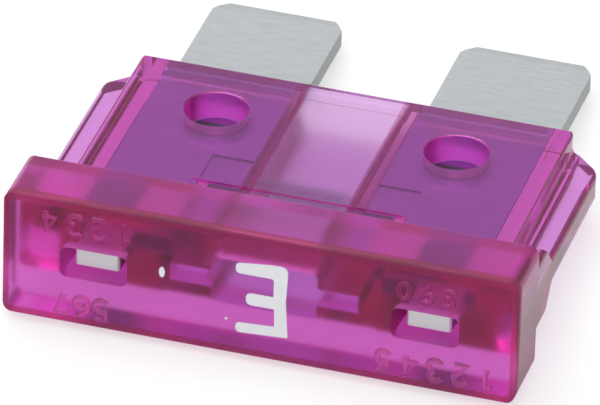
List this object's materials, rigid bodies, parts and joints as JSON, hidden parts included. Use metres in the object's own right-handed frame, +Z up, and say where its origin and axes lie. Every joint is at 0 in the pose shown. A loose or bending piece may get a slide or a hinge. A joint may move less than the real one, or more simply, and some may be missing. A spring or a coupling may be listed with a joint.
{
  "type": "automotive blade fuse",
  "caption": "Clear violet fuse housing with flat plug-in blades, test wells in its head, side wings and round stake windows; a thin link joins the blades inside.",
  "frame": {"origin": "on the surface that the fuse lies on, under the middle of its box", "axes": "+X across the fuse from blade to blade, +Y from the head towards the blade tips, +Z up; the fuse lies on one large face, so its blades slope down by 6.6 degrees from +Y"},
  "size_m": [0.019, 0.019, 0.0053],
  "materials": {
    "violet_plastic": "clear moulded plastic, glossy outside, satin in the chamber",
    "zinc_alloy": "rolled and stamped zinc alloy strip, satin grey"
  },
  "bodies": {
    "root": {"housing": "violet_plastic", "fuse_element": "zinc_alloy"}
  },
  "joints": []
}
